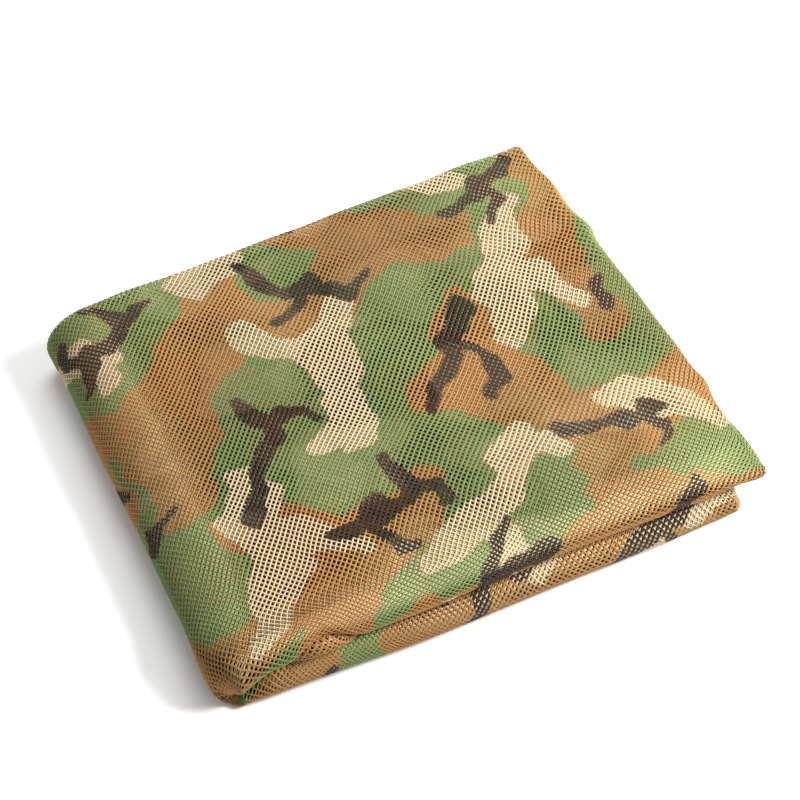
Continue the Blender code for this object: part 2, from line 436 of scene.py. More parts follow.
def motif_depth(x, y, motifs, places):
    """How deep each point lies inside the nearest brush mark, in mm.

    A mark is a cone with round ends: its radius less the distance to the
    segment between two neighbours of a chain, on the repeating cloth.
    """
    depth = np.full(x.shape, -np.inf)
    for motif, mid_x, mid_y, turn, size in places:
        dx, dy = x - mid_x, y - mid_y
        dx = dx - np.round(dx / REPEAT[0]) * REPEAT[0]
        dy = dy - np.round(dy / REPEAT[1]) * REPEAT[1]
        u, v = (part / size for part in turned(dx, dy, turn))
        for chain in motifs[motif]:
            for (x0, y0, r0), (x1, y1, r1) in zip(chain[:-1], chain[1:]):
                ax, ay = x1 - x0, y1 - y0
                t = np.clip(((u - x0) * ax + (v - y0) * ay) / (ax * ax + ay * ay), 0.0, 1.0)
                mark = r0 + (r1 - r0) * t - np.hypot(u - x0 - t * ax, v - y0 - t * ay)
                depth = np.maximum(depth, mark * size)
    return depth


def print_colour(along, across, colours):
    """Colour of the printed cloth at each point of the flat cloth.

    The place is shaken by three sizes of waves so that edges run ragged;
    then brown, pale and dark marks are laid over green, each with an edge
    that is soft over less than a strand.  Green and brown fade slowly over
    the cloth.
    """
    x0, y0 = UPPER_END - along, across - MID_ACROSS
    x, y = x0, y0
    for size, first, second in EDGE_WAVES:
        x = x + size * np.sin(y0 / first + x0 / second + size)
        y = y + size * np.sin(x0 / (1.1 * first) - y0 / (0.8 * second) + 2 * size)
    fade = 0.5 + 0.5 * np.sin(x0 / 37.0 + 0.4) * np.sin(y0 / 29.0 + 1.3)
    green, brown = (
        colours[ink] * (least + more * fade)[..., None] for ink, (least, more) in FADES.items())
    colour = green
    for ink, motifs, places in (
        (brown, BROWN_MOTIFS, BROWN_PLACES),
        (colours["pale"], PALE_MOTIFS, PALE_PLACES),
        (colours["dark"], DARK_MOTIFS, DARK_PLACES),
    ):
        depth = motif_depth(x, y, motifs, places)
        cover = np.clip(depth / EDGE_SOFTNESS + 0.5, 0.0, 1.0)[..., None]
        colour = colour * (1.0 - cover) + ink * cover
    return np.clip(colour, 0.0, 1.0)


# -------- meshes
KNOT_POINTS = 9             # a centre and eight corners
KNOT_JITTER, KNOT_SEED = 0.05, 7
STRAND_SHARES = (0.92, 1.10)      # widths of the two strand directions
ROW_MARGIN, COLUMN_MARGIN = (-12, 9), (-2, 12)  # knots past a patch, as the pull moves them
OUTER_LIFT = 0.35           # sides of the outer net's strands over the middle of its layer
UNDER_PARTED = 0.60         # how far the second layer is pressed up to the first
UNDER_TOUCHING = 1.85
MOST_TOUCH = 0.85           # of the waves; only the folds press the layers fully together
CROWDED = 0.7               # share by which the second layer is let down at the corner
UNDER_SHIFT = 0.6           # across the cloth, all over
PARTED_SLIP = (-0.75, 0.95)  # along and across, where the layers part
BACKING_RAISED = 0.3        # how far the panel below follows the second layer
BACKING_TIGHT = 1.3         # and over folds and ends
REVERSE_BARE = 0.5          # the share of unprinted yarn seen on the reverse
ROLL_BARE_LIGHT = 0.75            # and over the folds, raised there as painted light
END_BARE, WRAP_BARE_SHADE, FOOT_BARE_LIGHT = 0.4, 0.6, 1.2  # times that at the end; less on the wrap as painted shade, more on the foot as painted light
INSIDE_LIGHT, INSIDE_POWER = 0.37, 1.5  # painted shade between the layers: the light left there, and the deeper colour the ink gives it
# painted light on the middle line of a strand, and painted shade on its sides among the loops
OUTER_SHADES, UNDER_SHADES = (1.15, 0.63), (1.06, 0.90)
TOUCH_WAVES = ((1.6, (24, 31, 0.6), (-47, 22, 2.1)), (0.5, (11, -14, 0.0), (17, 10.5, 0.9)))

SHEET_STEP = 7.0            # between the lines of an inner sheet on its panels
FOLD_LINES = 7              # lines round a fold
UPPER_LINES, WRAP_LINES, LOWER_LINES = 44, 19, 40  # lines along each stretch
CHART_SPARE, CHART_MARGIN = 1.02, 0.005  # the flat cloth keeps clear of its chart's edges

# the pull on the knit, in mm or as shares of a length
END_STRETCH, WRAP_SHRINK, FOOT_SHRINK = 0.114, 0.11, 0.06
FRONT_BOW, BACK_BOW, WRAP_BOW = 9.0, 5.0, 7.0
WRAP_SLIPS = ((8.0, 13, 27), (8.0, 42, 74), (-16.0, 80, 240))  # move, start, stop
END_LEAN, WRAP_LEAN = 0.095, 0.12
ROLL_STRETCH, ROLL_STRETCH_LEFT = 0.065, 0.060
ROW_BULGE, CORNER_LEAN, FOOT_BUNCH = 4.5, 3.0, 9.0
ALONG_WAVES = (
    (0.30, (9.5, 17, 0.4), (-30.6, 13.3, 0.8)),
    (0.10, (4.7, 7.9, 0.4), (-14.22, 6.58, 0.8)),
)
ACROSS_WAVES = (
    (0.30, (-17, 9.5, 1.2), (12.35, 35.7, 1.6)),
    (0.10, (-7.9, 4.7, 1.2), (6.11, 16.59, 1.6)),
)


def pulled(along, across):
    """Where the pull on the knit has moved the points of its even lattice.

    The cells are longer at the right end and shorter round the wrap and
    after it, but slip past its drawn-in front end.  The lines of knots
    bow near the front and the back.  The rows lean at the right end and at
    the front of the wrap, and bulge back on the front half of the top.  The
    cells are drawn out over the upper front roll and bunched on the left
    half of the lower one.  Two sizes of waves go over the whole.
    """
    front = MID_ACROSS - across
    past_bend, past_foot = along - UPPER_RUN, along - LOWER_START
    on_top = 1.0 - ease(past_foot, 0, 120)

    offset = np.clip(-front / 110.0, -1.05, 1.05)
    at_front, at_back = FRONT_BOW * ease(along, 60, 190), BACK_BOW * (1.0 - ease(along, 200, 260))
    bow = np.where(offset < 0, at_front, at_back) * offset ** 4
    bow = bow + WRAP_BOW * ease(along, 180, 262) * ease(front, 106, 128)
    first = np.minimum(along, UPPER_RUN)
    move_along = END_STRETCH * first * (1.0 - first / UPPER_RUN) - bow
    move_along = move_along - WRAP_SHRINK * np.clip(past_bend, 0.0, LOWER_START - UPPER_RUN)
    move_along = move_along - FOOT_SHRINK * np.clip(past_foot, 0.0, 120.0)
    move_along = move_along + steps(past_bend, WRAP_SLIPS) * ease(front, 98, 130)

    near_wrap = np.minimum(along, 318.0) - 272.0
    move_across = END_LEAN * ramp(62.0 - along, 12.0)
    move_across = move_across - WRAP_LEAN * ramp(near_wrap, 12.0) * ease(front, -34, 96) * on_top
    gathered = ROLL_STRETCH + ROLL_STRETCH_LEFT * ease(along, 110, 160)
    gathered = gathered * on_top * (1.0 - ease(along, 255, 280))
    move_across = move_across + gathered * ramp(front - 117.0, 6.0)
    bulge = between(along, 20, 110, 190, 250) * (ease(front, 1, 51) - ease(front, 68, 124))
    cornered = between(past_bend, 34, 50, 80, 130) * ease(front, 112, 134)
    bunched = between(past_foot, 0, 50, 100, 180) * (1.0 - ease(front, 114, 152))
    move_across = move_across + ROW_BULGE * bulge - CORNER_LEAN * cornered - FOOT_BUNCH * bunched
    return (along + move_along + waves(along, across, ALONG_WAVES),
            across + move_across + waves(along, across, ACROSS_WAVES))


def press_of_layers(along, across):
    """Where the two open layers touch (1) and part (0), by the place on the upper one."""
    touch = MOST_TOUCH * ease(waves(along, across, TOUCH_WAVES), -0.1, 0.9)
    on_fold = np.maximum(
        ease(MID_ACROSS - across, 86, 118), ease(along, UPPER_RUN - 22, UPPER_RUN + 4))
    on_fold = on_fold * (1.0 - 0.7 * ease(along, LOWER_START + 90, LOWER_START + 180))
    return touch + (1.0 - touch) * on_fold


def layer_beneath(place, back_to_outer=False):
    """Place across the second layer that lies under a place of the outermost one.

    The two are face to face: flat part on flat part, and turn on turn where
    they go round the front and back rolls, whose radii go with the STACK.
    """
    (front, back), (own_back, own_front) = PANELS[1], PANELS[6]
    at_front = (STACK[6] - STACK[7]) / (STACK[1] - STACK[0])
    at_back = (STACK[6] - STACK[5]) / (STACK[1] - STACK[2])
    past = 60.0             # beyond all that is seen of either roll
    outer = (front - past, front, back, back + past)
    own = (own_front + past * at_front, own_front, own_back, own_back - past * at_back)
    if back_to_outer:
        return np.interp(place, own[::-1], outer[::-1])
    return np.interp(place, outer, own)


def net_cloth(sizes, along_span, across_span, lift, side, beneath=False):
    """Open net over a patch of the flat cloth.

    Knots sit on a centred rectangular lattice, pulled out of true.  Each
    knot is a raised centre with eight corners round it, two on each of its
    four strands; a strand is two slopes from its raised middle line down to
    its sides, and a triangle fills each corner between two strands.

    The layer beneath is the same lattice turned over, as the cloth is: it
    has slipped back where the layers part, and by half a cell along the
    cloth where they touch, so that there its knots fill the holes.  It is
    raised less where the corner at the foot crowds the layers.
    """
    pitch_along, pitch_across = sizes.pitch_along / MM, sizes.pitch_across / MM
    reach_across = np.array(across_span)
    if beneath:
        reach_across = np.sort(layer_beneath(reach_across, back_to_outer=True))
    rows = ((reach_across - MID_ACROSS) / (pitch_across / 2)).round().astype(int) + ROW_MARGIN
    columns = (np.array(along_span) / pitch_along).round().astype(int) + COLUMN_MARGIN
    row, column = np.meshgrid(np.arange(*rows), np.arange(*columns), indexing="ij")
    knot_along = (column + 0.5 * (row % 2)) * pitch_along
    knot_across = MID_ACROSS + row * pitch_across / 2
    knot_along, knot_across = pulled(knot_along, knot_across)
    if beneath:
        touch = press_of_layers(knot_along, knot_across)
        knot_along = knot_along + 0.5 * pitch_along * touch + PARTED_SLIP[0] * (1.0 - touch)
        knot_across = knot_across + UNDER_SHIFT + PARTED_SLIP[1] * (1.0 - touch)
    jitter = np.random.default_rng(KNOT_SEED).normal(0.0, KNOT_JITTER, (2,) + knot_along.shape)
    offsets = knot_corners(sizes)
    along = (knot_along + jitter[0])[..., None] + offsets[:, 0]
    across = (knot_across + jitter[1])[..., None] + offsets[:, 1]
    rise = np.full(KNOT_POINTS, lift)
    rise[0] += sizes.strand_loft / MM
    raised = 0.0
    if beneath:
        raised = UNDER_PARTED + (UNDER_TOUCHING - UNDER_PARTED) * press_of_layers(along, across)
        crowded = between(along, UPPER_RUN + 4, UPPER_RUN + 20, LOWER_START + 4, LOWER_START + 30)
        crowded = crowded * ease(MID_ACROSS - across, 108, 124)
        across = layer_beneath(across)
        raised = raised + (UNDER_TOUCHING - raised) * round_folds(along, across)
        raised = raised * (1.0 - CROWDED * crowded)
    points = fold_up(along, across, rise, side, raised)

    index = np.arange(along.size).reshape(along.shape)
    held = (along >= along_span[0]) & (along <= along_span[1])
    held = (held & (across >= across_span[0]) & (across <= across_span[1])).ravel()
    quads = np.concatenate([strand_faces(index, row, 1), strand_faces(index, row, 2)])
    corners = corner_faces(index)
    quads, corners = (faces[held[faces].all(axis=1)] for faces in (quads, corners))
    return points.reshape(-1, 3), quads, corners, along.ravel(), across.ravel()


def knot_corners(sizes):
    """The centre of a knot and the two corners on each of its four strands, flat."""
    strand = np.array([sizes.pitch_along, sizes.pitch_across])
    strand = strand / np.linalg.norm(strand)
    half, reach = sizes.strand_width / MM / 2, sizes.knot_reach / MM
    offsets = [np.zeros(2)]
    for sign_along, sign_across in ((1, 1), (-1, 1), (-1, -1), (1, -1)):
        heading = strand * (sign_along, sign_across)
        share = STRAND_SHARES[0 if sign_along == sign_across else 1]
        aside = np.array([-heading[1], heading[0]]) * half * share
        offsets += [heading * reach + aside, heading * reach - aside]
    return np.array(offsets)


def corner_faces(index):
    """The triangle between each two neighbouring strands of a knot."""
    corners = []
    for strand in range(4):
        points = [0, 1 + 2 * strand, 2 + 2 * ((strand + 1) % 4)]
        corners.append(index[..., points].reshape(-1, 3))
    return np.concatenate(corners)


def strand_faces(index, row, strand):
    """The two slopes of each strand to the next row: strand 1 leans forward, 2 back."""
    above, odd = index[1:], (row[:-1, :1] % 2 == 1)[..., None]
    shifted = np.full_like(above, -1)
    if strand == 1:
        shifted[:, :-1] = above[:, 1:]
        there = np.where(odd, shifted, above)
        left, right, far_left, far_right = 1, 2, 5, 6
    else:
        shifted[:, 1:] = above[:, :-1]
        there = np.where(odd, above, shifted)
        left, right, far_left, far_right = 3, 4, 7, 8
    found = there[..., 0] >= 0
    a, b = index[:-1][found], there[found]
    one = np.stack([a[:, 0], b[:, 0], b[:, far_right], a[:, left]], axis=-1)
    two = np.stack([a[:, 0], a[:, right], b[:, far_left], b[:, 0]], axis=-1)
    return np.concatenate([one, two])


def share_out(faces, along, cuts):
    """Split faces along the cloth at the cuts, each with the vertices it uses."""
    for start, stop in zip(cuts[:-1], cuts[1:]):
        kept = []
        for group in faces:
            middle = along[group].mean(axis=1)
            kept.append(group[(middle >= start) & (middle < stop)])
        used, place = np.unique(np.concatenate([group.ravel() for group in kept]), return_inverse=True)
        ends = np.cumsum([group.size for group in kept])
        yield used, [part.reshape(group.shape) for part, group in zip(np.split(place, ends[:-1]), kept)]


def round_folds(along, across):
    """1 over the folds of the second layer, round the wrap and over its end, 0 between."""
    start, stop = PANELS[6]
    tight = np.maximum(1.0 - ease(across, start, start + 12), ease(across, stop - 8, stop))
    tight = np.maximum(tight, ease(along, UPPER_RUN - 18, UPPER_RUN + 4))
    return np.maximum(tight, 1.0 - ease(along, 0, 12))


def reverse_bare_and_light(along, across):
    """The share of unprinted yarn that shows on the reverse of the second layer, with painted light
    over the folds and on the foot and painted shade on the wrap.
    """
    bare_and_light = REVERSE_BARE + (ROLL_BARE_LIGHT - REVERSE_BARE) * round_folds(along, across)
    bare_and_light = bare_and_light * (END_BARE + (1.0 - END_BARE) * ease(along, 0, 14))
    on_foot = ease(along, LOWER_START, LOWER_START + 40)
    on_wrap = ease(along, UPPER_RUN - 20, UPPER_RUN + 20) * (1.0 - on_foot)
    return bare_and_light * (1.0 + (WRAP_BARE_SHADE - 1.0) * on_wrap + (FOOT_BARE_LIGHT - 1.0) * on_foot)


def backing_raised(along, across):
    """How far the next panel down follows the second layer, more so over folds and ends."""
    start, stop = PANELS[6]
    raised = BACKING_RAISED + (BACKING_TIGHT - BACKING_RAISED) * round_folds(along, across)
    return -raised * between(across, start - 12, start, stop + 18, stop + 30)


def between_layers(across):
    """1 where a layer lies between others and takes painted shade, 0 where its fold shows from outside.
    """
    place = np.abs(np.interp(across, SECTION_RUN, SECTION[0]))
    covered = (across > PANELS[5][1] - 10) & (across < PANELS[7][0] + 10)
    return np.maximum(1.0 - ease(place, TURN - 9, TURN - 1), covered)


def sheet_grid(along_span, across_span):
    """Plain grid over a patch of the flat cloth, finer round the folds.

    The panel under the two open layers is pressed up against them.
    """
    cuts = [*across_span]
    following = [start for start, _ in PANELS[1:]] + [CLOTH_WIDTH]
    for (start, stop), fold_end in zip(PANELS, following):
        cuts.extend(np.linspace(start, stop, int((stop - start) / SHEET_STEP) + 1))
        turns = np.linspace(stop, stop + np.pi * WIDEST_FOLD, FOLD_LINES)[1:-1]
        cuts.extend(turns[turns < fold_end])
    cuts = np.unique(np.clip(cuts, *across_span))
    runs = np.concatenate([
        np.linspace(along_span[0], 0.0, 3)[:-1],
        np.linspace(0.0, UPPER_RUN, UPPER_LINES)[:-1],
        np.linspace(UPPER_RUN, LOWER_START, WRAP_LINES)[:-1],
        np.linspace(LOWER_START, STRIP_RUN, LOWER_LINES)[:-1],
        np.linspace(STRIP_RUN, along_span[1], 3),
    ])
    along, across = np.meshgrid(runs, cuts, indexing="ij")
    points = fold_up(along, across, 0.0, 1.0, backing_raised(along, across))
    index = np.arange(along.size).reshape(along.shape)
    quads = np.stack([index[:-1, :-1], index[:-1, 1:], index[1:, 1:], index[1:, :-1]], axis=-1)
    return points.reshape(-1, 3), quads.reshape(-1, 4), along.ravel(), across.ravel()


def add_piece(name, points, face_sets, along, across, material, shade, bare_and_light=0.0, inside=0.0):
    """Mesh object from whole arrays, with its print, flat map and material.

    Each face takes the ink of its own middle, as the print meets a yarn.
    On the reverse of the cloth the ink has not gone through: bare_and_light
    is the share of unprinted yarn that shows there, raised and lowered in
    places as painted light and shade.  Inside is 1 where a layer lies
    between others: there the colour is painted darker and deeper, as
    painted shade for the little light that gets there after meeting the
    ink.  Shade is painted light and shade on each point of a strand:
    lighter on its middle line, darker on its sides among the loops of the knit.
    """
    mesh = bpy.data.meshes.new(name)
    loops = np.concatenate([faces.ravel() for faces in face_sets])
    totals = np.concatenate([np.full(len(faces), faces.shape[1]) for faces in face_sets])
    starts = np.concatenate([[0], np.cumsum(totals)[:-1]])
    mesh.vertices.add(len(points))
    mesh.vertices.foreach_set("co", (points * MM).astype(np.float32).ravel())
    mesh.loops.add(loops.size)
    mesh.loops.foreach_set("vertex_index", loops.astype(np.int32))
    mesh.polygons.add(totals.size)
    mesh.polygons.foreach_set("loop_start", starts.astype(np.int32))
    mesh.update(calc_edges=True)
    mesh.validate()
    mesh.polygons.foreach_set("use_smooth", np.ones(len(mesh.polygons), dtype=bool))

    # what validate has kept
    corner = np.empty(len(mesh.loops), dtype=np.int32)
    mesh.loops.foreach_get("vertex_index", corner)
    first = np.empty(len(mesh.polygons), dtype=np.int32)
    mesh.polygons.foreach_get("loop_start", first)
    sides = np.diff(np.append(first, corner.size))
    middle = (np.add.reduceat(place[corner], first) / sides for place in (along, across))

    colours = bpy.context.scene.net_colours
    inks = {ink: np.array(getattr(colours, ink)) for ink in ("green", "brown", "pale", "dark", "yarn")}
    bare_and_light, inside = (np.broadcast_to(share, along.shape)[corner, None] for share in (bare_and_light, inside))
    printed = np.repeat(print_colour(*middle, inks), sides, axis=0)
    # unprinted yarn on the reverse; its share also carries painted light and shade
    printed = printed * (1.0 - bare_and_light) + inks["yarn"] * bare_and_light
    # painted shade between the layers: darker, deeper colour
    printed = printed * (1.0 - inside) + INSIDE_LIGHT * printed ** INSIDE_POWER * inside
    rgba = np.ones((corner.size, 4), dtype=np.float32)
    # shade: painted light and shade along each strand, multiplied into the ink
    rgba[:, :3] = printed * shade[corner, None]
    ink = mesh.attributes.new("ink", "FLOAT_COLOR", "CORNER")
    ink.data.foreach_set("color", rgba.ravel())
    flat = mesh.attributes.new("flat", "FLOAT_VECTOR", "POINT")
    places = np.stack([along, across, np.zeros_like(along)], axis=-1)
    flat.data.foreach_set("vector", places.astype(np.float32).ravel())
    chart = mesh.uv_layers.new(name="OFBake")
    span = max(np.ptp(along), np.ptp(across)) * CHART_SPARE
    uv = np.stack([(place - place.min()) / span + CHART_MARGIN for place in (along, across)], axis=-1)
    chart.data.foreach_set("uv", uv[corner].astype(np.float32).ravel())
    mesh.materials.append(material)
    piece = bpy.data.objects.new(name, mesh)
    bpy.context.scene.collection.objects.link(piece)
    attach(piece, "root")
    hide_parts(NODE)
    return piece


def knit(names, cuts, across_span, material, lift, side, shades, beneath=False):
    """Net over a patch of the cloth, cut along it into pieces with these names."""
    sizes = bpy.context.scene.net_sizes
    points, quads, corners, along, across = net_cloth(
        sizes, (cuts[0], cuts[-1]), across_span, lift, side, beneath)
    parts = share_out((quads[:, ::-1], corners[:, ::-1]), along, (-np.inf, *cuts[1:-1], np.inf))
    for name, start, stop, (used, faces) in zip(names, cuts[:-1], cuts[1:], parts):
        # painted light on each strand's middle line through the knot centres, painted shade on its
        # sides
        shade = np.where(used % KNOT_POINTS == 0, *shades)
        bare_and_light = reverse_bare_and_light(along[used], across[used]) if beneath else 0.0
        piece = add_piece(
            name, points[used], faces, along[used], across[used], material, shade, bare_and_light)
        net_cover(sizes)


def net_cover(sizes):
    """Yarn surface for each part of the cloth: two strips a cell and their corners.

    A strand's two slopes are longer than their plan by the root of
    1 + (loft / half width)^2.
    """
    cell = sizes.pitch_along * sizes.pitch_across / 2
    run = np.hypot(sizes.pitch_along, sizes.pitch_across) / 2
    half, reach = sizes.strand_width / 2, sizes.knot_reach
    strips = 2 * (run - 2 * reach) * sizes.strand_width
    lean = np.arctan2(sizes.pitch_across, sizes.pitch_along)
    ring = np.hypot(reach, half)
    spread = np.arctan2(half, reach)
    knots = 2 * np.sin(2 * spread) + np.sin(2 * lean - 2 * spread) + np.sin(2 * lean + 2 * spread)
    slope = np.hypot(1.0, sizes.strand_loft / half)
    return min(slope * (strips + ring ** 2 * knots) / cell, 1.0)


# -------- materials
GLOSSES = {"outer": 0.25, "under": 0.12, "inside": 0.05}  # hardly any between the layers
LOOPS_A_CELL = 4.5          # knit loops 0.6 mm apart along each strand
FUZZ_SCALE = 3.5            # loose filaments: patches 0.3 mm wide
HOLE_EDGE = (0.15, 0.22)    # from a strand's middle, as a share of a cell
HOLE_SHADE = 0.06            # painted shade: light that a drawn hole sends back


def linear(code):
    """sRGB hex colour to linear values."""
    value = np.array([int(code[i:i + 2], 16) / 255 for i in (1, 3, 5)])
    return tuple(np.where(value <= 0.04045, value / 12.92, ((value + 0.055) / 1.055) ** 2.4))


def node(tree, kind, settings=None, inputs=None):
    """Add a node, set its properties and set or link its inputs."""
    made = tree.nodes.new(kind)
    for key, value in (settings or {}).items():
        setattr(made, key, value)
    for key, value in (inputs or {}).items():
        if isinstance(value, bpy.types.NodeSocket):
            tree.links.new(value, made.inputs[key])
        else:
            made.inputs[key].default_value = value
    return made


def maths(tree, operation, *values):
    """Add a maths node with these inputs and give its result."""
    return node(tree, "ShaderNodeMath", {"operation": operation}, dict(enumerate(values))).outputs[0]


def mesh_polyester(name, layer):
    """Warp-knitted polyester mesh, pigment printed.

    Dull yarn with a soft gloss: ink and loose filaments take part of the
    shine.  Bumps are sine waves for the loops of the knit along both strand
    directions, and noise for the loose filaments.
    Inside the pack, where the sheet is not cut open, its holes are drawn
    on the same lattice as dark diamonds, painted shade for the deep layers
    seen through them.
    """
    sizes = bpy.context.scene.net_sizes
    material = bpy.data.materials.new(name)
    material.use_nodes = True
    tree = material.node_tree
    shader = tree.nodes["Principled BSDF"]
    shader.inputs["Roughness"].default_value = 0.5
    shader.inputs["IOR"].default_value = 1.5
    shader.inputs["Specular IOR Level"].default_value = GLOSSES[layer]

    ink = node(tree, "ShaderNodeAttribute", {"attribute_name": "ink"})
    flat = node(tree, "ShaderNodeAttribute", {"attribute_name": "flat"})
    place = node(tree, "ShaderNodeSeparateXYZ", inputs={0: flat.outputs["Vector"]})
    cells_along = maths(tree, "MULTIPLY", place.outputs["X"], MM / sizes.pitch_along)
    strands = [
        maths(tree, "MULTIPLY_ADD", place.outputs["Y"], sign * MM / sizes.pitch_across, cells_along)
        for sign in (1, -1)]

    loops = [
        maths(tree, "SINE", maths(tree, "MULTIPLY", run, 2 * np.pi * LOOPS_A_CELL)) for run in strands]
    fuzz = node(tree, "ShaderNodeTexNoise", inputs={
        "Vector": flat.outputs["Vector"], "Scale": FUZZ_SCALE, "Detail": 4.0})
    height = maths(tree, "MULTIPLY_ADD", fuzz.outputs["Fac"], 1.6, maths(tree, "ADD", *loops))

    # ink sits unevenly on the yarn
    uneven = node(tree, "ShaderNodeMapRange", inputs={
        "Value": fuzz.outputs["Fac"], "From Min": 0.3, "From Max": 0.7, "To Min": 0.82, "To Max": 1.14})
    colour = node(tree, "ShaderNodeVectorMath", {"operation": "SCALE"},
                  {0: ink.outputs["Color"], "Scale": uneven.outputs["Result"]}).outputs[0]
    if layer == "inside":
        # pingpong runs 0 at a strand's middle to 0.5 at the hole's
        sides = [maths(tree, "PINGPONG", run, 0.5) for run in strands]
        # the holes as dark diamonds: painted shade of the layers deep below
        hole = node(tree, "ShaderNodeMapRange", inputs={
            "Value": maths(tree, "MINIMUM", *sides), "From Min": HOLE_EDGE[0],
            "From Max": HOLE_EDGE[1], "To Min": 1.0, "To Max": HOLE_SHADE})
        colour = node(tree, "ShaderNodeVectorMath", {"operation": "SCALE"},
                      {0: colour, "Scale": hole.outputs["Result"]}).outputs[0]
        height = maths(tree, "MULTIPLY_ADD", hole.outputs["Result"], 6.0, height)
    tree.links.new(colour, shader.inputs["Base Color"])
    bump = node(tree, "ShaderNodeBump", inputs={
        "Height": height, "Strength": 0.35, "Distance": 0.08 * MM})
    tree.links.new(bump.outputs["Normal"], shader.inputs["Normal"])
    return material


# -------- properties
class NetSizes(bpy.types.PropertyGroup):
    pitch_along: bpy.props.FloatProperty(
        name="Pitch along", description="Knot to knot along the front edge",
        default=0.00350, min=0.002, max=0.01, precision=5, subtype="DISTANCE")
    pitch_across: bpy.props.FloatProperty(
        name="Pitch across", description="Knot to knot from front to back",
        default=0.00370, min=0.002, max=0.01, precision=5, subtype="DISTANCE")
    strand_width: bpy.props.FloatProperty(
        name="Strand width", description="Width of a knitted strand between two holes",
        default=0.00084, min=0.0003, max=0.002, precision=5, subtype="DISTANCE")
    knot_reach: bpy.props.FloatProperty(
        name="Knot reach", description="From the middle of a knot to where its strands run straight",
        default=0.00062, min=0.0003, max=0.002, precision=5, subtype="DISTANCE")
    strand_loft: bpy.props.FloatProperty(
        name="Strand loft", description="Rise of a strand's middle over its sides",
        default=0.00058, min=0.0, max=0.001, precision=5, subtype="DISTANCE")
    layer_thickness: bpy.props.FloatProperty(
        name="Layer thickness", description="Thickness of a layer inside the pack",
        default=0.0006, min=0.0002, max=0.002, precision=5, subtype="DISTANCE")


class NetColours(bpy.types.PropertyGroup):
    green: bpy.props.FloatVectorProperty(
        name="Green", description="Ground of the print", subtype="COLOR", size=3,
        min=0.0, max=1.0, default=linear("#75874c"))
    brown: bpy.props.FloatVectorProperty(
        name="Brown", description="Large lobes of the print", subtype="COLOR", size=3,
        min=0.0, max=1.0, default=linear("#a87840"))
    pale: bpy.props.FloatVectorProperty(
        name="Pale", description="Pale islands of the print", subtype="COLOR", size=3,
        min=0.0, max=1.0, default=linear("#cbb590"))
    yarn: bpy.props.FloatVectorProperty(
        name="Yarn", description="Unprinted yarn on the reverse", subtype="COLOR", size=3,
        min=0.0, max=1.0, default=linear("#dbc89f"))
    dark: bpy.props.FloatVectorProperty(
        name="Dark", description="Branching strokes of the print", subtype="COLOR", size=3,
        min=0.0, max=1.0, default=linear("#33241b"))


class NetStage(bpy.types.PropertyGroup):
    azimuth: bpy.props.FloatProperty(
        name="Azimuth", description="How far the camera stands round from the front",
        default=np.radians(-25.43), subtype="ANGLE")
    elevation: bpy.props.FloatProperty(
        name="Elevation", description="How far the camera stands above the surface",
        default=np.radians(47.87), subtype="ANGLE")
    distance: bpy.props.FloatProperty(
        name="Distance", description="From the camera to the middle of the pack",
        default=1.0211, subtype="DISTANCE")
    floor: bpy.props.FloatVectorProperty(
        name="Floor", description="Colour of the surface", subtype="COLOR", size=3,
        min=0.0, max=1.0, default=linear("#f6f6f6"))


# -------- operators
SEAM = 12.0                 # the net runs this far past its last fold
OUTER_ACROSS = (PANELS[0][1] - SEAM, PANELS[2][0] + SEAM)
UNDER_ACROSS = (PANELS[5][1] - SEAM, PANELS[7][0] + SEAM)
FRONT_ACROSS = (PANELS[6][1] - SEAM, UNDER_ACROSS[1])
NET_START, NET_STOP = -END_RUN, STRIP_RUN + END_RUN
TOP_CUT = UPPER_RUN - 12.0  # where the top is parted from the wrap
INNER_END = 7.0             # the inner layers close less far over the cut ends
INNER_PATCHES = {
    "layers_first": (0.0, PANELS[0][1] - SEAM),
    "layers_inner": (PANELS[2][0] + SEAM, CLOTH_WIDTH),
}


class NET_OT_outer(bpy.types.Operator):
    """Knit the outermost layer: top, rolls, left wrap and foot"""
    bl_idname = "net.outer"
    bl_label = "Outer net"

    def execute(self, context):
        material = mesh_polyester("Warp_knitted_polyester_mesh", "outer")
        knit(("net_outer_top", "net_outer_wrap", "net_outer_foot"),
             (NET_START, TOP_CUT, LOWER_START, NET_STOP),
             OUTER_ACROSS, material, OUTER_LIFT, 1.0, OUTER_SHADES)
        return {"FINISHED"}


class NET_OT_under(bpy.types.Operator):
    """Knit the layer that shows through the holes of the outermost one"""
    bl_idname = "net.under"
    bl_label = "Under net"

    def execute(self, context):
        material = mesh_polyester("Warp_knitted_polyester_mesh_under", "under")
        knit(("net_under_top", "net_under_wrap"), (NET_START, TOP_CUT, LOWER_START),
             UNDER_ACROSS, material, 0.0, -1.0, UNDER_SHADES, beneath=True)
        knit(("net_under_front",), (LOWER_START, NET_STOP),
             FRONT_ACROSS, material, 0.0, -1.0, UNDER_SHADES, beneath=True)
        return {"FINISHED"}


class NET_OT_inner(bpy.types.Operator):
    """Lay the layers inside the pack as thin sheets on the same folds"""
    bl_idname = "net.inner"
    bl_label = "Inner layers"

    def execute(self, context):
        material = mesh_polyester("Warp_knitted_polyester_mesh_inside", "inside")
        along_span = (-INNER_END, STRIP_RUN + INNER_END)
        for name, across_span in INNER_PATCHES.items():
            points, quads, along, across = sheet_grid(along_span, across_span)
            piece = add_piece(
                name, points, (quads,), along, across, material, np.ones(along.size),
                inside=between_layers(across))
            solid = piece.modifiers.new("Thickness", "SOLIDIFY")
            solid.thickness = context.scene.net_sizes.layer_thickness
            solid.offset = 0.0
        return {"FINISHED"}


FLOOR_REACH = 4.0           # metres from the middle to each side
ROOM_LIGHT = 0.50
LAMPS = (                   # name, place and size in metres, watts
    ("key", (1.00, -0.55, 0.95), 0.5, 37.0),
    ("top", (0.3, 0.7, 1.2), 0.9, 12.0),
)
AIM = (0.0062, 0.0004, 0.018)   # the point that the camera looks at, in metres


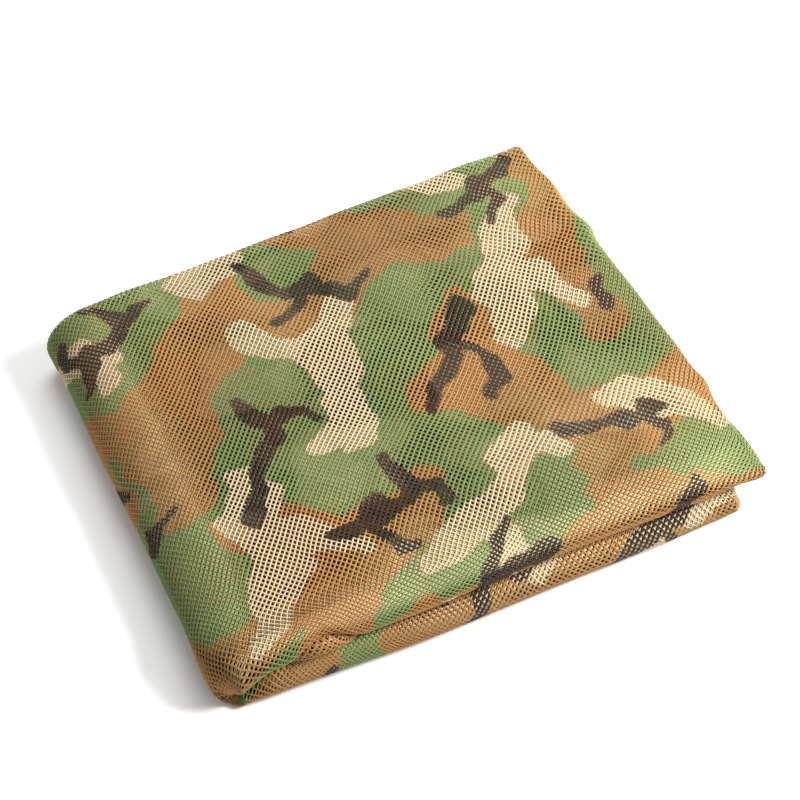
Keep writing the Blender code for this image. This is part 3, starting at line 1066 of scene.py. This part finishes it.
class NET_OT_stage(bpy.types.Operator):
    """Set the pale floor, the soft studio light and the camera"""
    bl_idname = "net.stage"
    bl_label = "Stage"

    def execute(self, context):
        scene = context.scene
        stage = scene.net_stage
        floor_material = bpy.data.materials.new("Matt_white_board")
        floor_material.use_nodes = True
        board = floor_material.node_tree.nodes["Principled BSDF"]
        board.inputs["Base Color"].default_value = (*stage.floor, 1.0)
        board.inputs["Roughness"].default_value = 0.9
        mesh = bpy.data.meshes.new("floor")
        signs = ((-1, -1), (1, -1), (1, 1), (-1, 1))
        mesh.from_pydata([(x * FLOOR_REACH, y * FLOOR_REACH, 0) for x, y in signs], [], [(0, 1, 2, 3)])
        mesh.materials.append(floor_material)
        floor = bpy.data.objects.new("floor", mesh)
        scene.collection.objects.link(floor)

        world = bpy.data.worlds.new("White room")
        world.use_nodes = True
        room = world.node_tree.nodes["Background"]
        room.inputs["Color"].default_value = (1.0, 1.0, 1.0, 1.0)
        room.inputs["Strength"].default_value = ROOM_LIGHT
        scene.world = world
        scene.view_settings.view_transform = "Standard"
        for name, place, size, energy in LAMPS:
            lamp = bpy.data.lights.new(name, "AREA")
            lamp.size, lamp.energy = size, energy
            light = bpy.data.objects.new(name, lamp)
            light.location = place
            light.rotation_euler = Vector(place).to_track_quat("Z", "Y").to_euler()
            scene.collection.objects.link(light)

        lens = bpy.data.cameras.new("camera")
        lens.lens, lens.sensor_width = 85.0, 36.0
        camera = bpy.data.objects.new("camera", lens)
        level = np.cos(stage.elevation)
        away = Vector((
            np.sin(stage.azimuth) * level, -np.cos(stage.azimuth) * level, np.sin(stage.elevation)))
        aside = Vector((0, 0, 1)).cross(away).normalized()
        over = away.cross(aside)
        facing = Matrix((aside, over, away)).transposed().to_4x4()
        camera.matrix_world = Matrix.Translation(Vector(AIM) + away * stage.distance) @ facing
        scene.collection.objects.link(camera)
        scene.camera = camera
        return {"FINISHED"}


class NET_PT_panel(bpy.types.Panel):
    """Sizes, colours and steps of the folded net"""
    bl_label = "Folded net"
    bl_idname = "NET_PT_panel"
    bl_space_type = "VIEW_3D"
    bl_region_type = "UI"
    bl_category = "Net"

    def draw(self, context):
        for group in (context.scene.net_sizes, context.scene.net_colours, context.scene.net_stage):
            box = self.layout.box()
            for key in group.__annotations__:
                box.prop(group, key)
        for step in STEPS:
            self.layout.operator(step.bl_idname)


STEPS = (NET_OT_outer, NET_OT_under, NET_OT_inner, NET_OT_stage)
CLASSES = (NetSizes, NetColours, NetStage, *STEPS, NET_PT_panel)


def register():
    for part in CLASSES:
        bpy.utils.register_class(part)
    bpy.types.Scene.net_sizes = bpy.props.PointerProperty(type=NetSizes)
    bpy.types.Scene.net_colours = bpy.props.PointerProperty(type=NetColours)
    bpy.types.Scene.net_stage = bpy.props.PointerProperty(type=NetStage)


def unregister():
    for key in ("net_sizes", "net_colours", "net_stage"):
        delattr(bpy.types.Scene, key)
    for part in reversed(CLASSES):
        bpy.utils.unregister_class(part)


def main():
    register()
    bpy.ops.net.stage()
    bpy.ops.net.outer()
    bpy.ops.net.under()
    bpy.ops.net.inner()


if __name__ == "__main__":
    main()
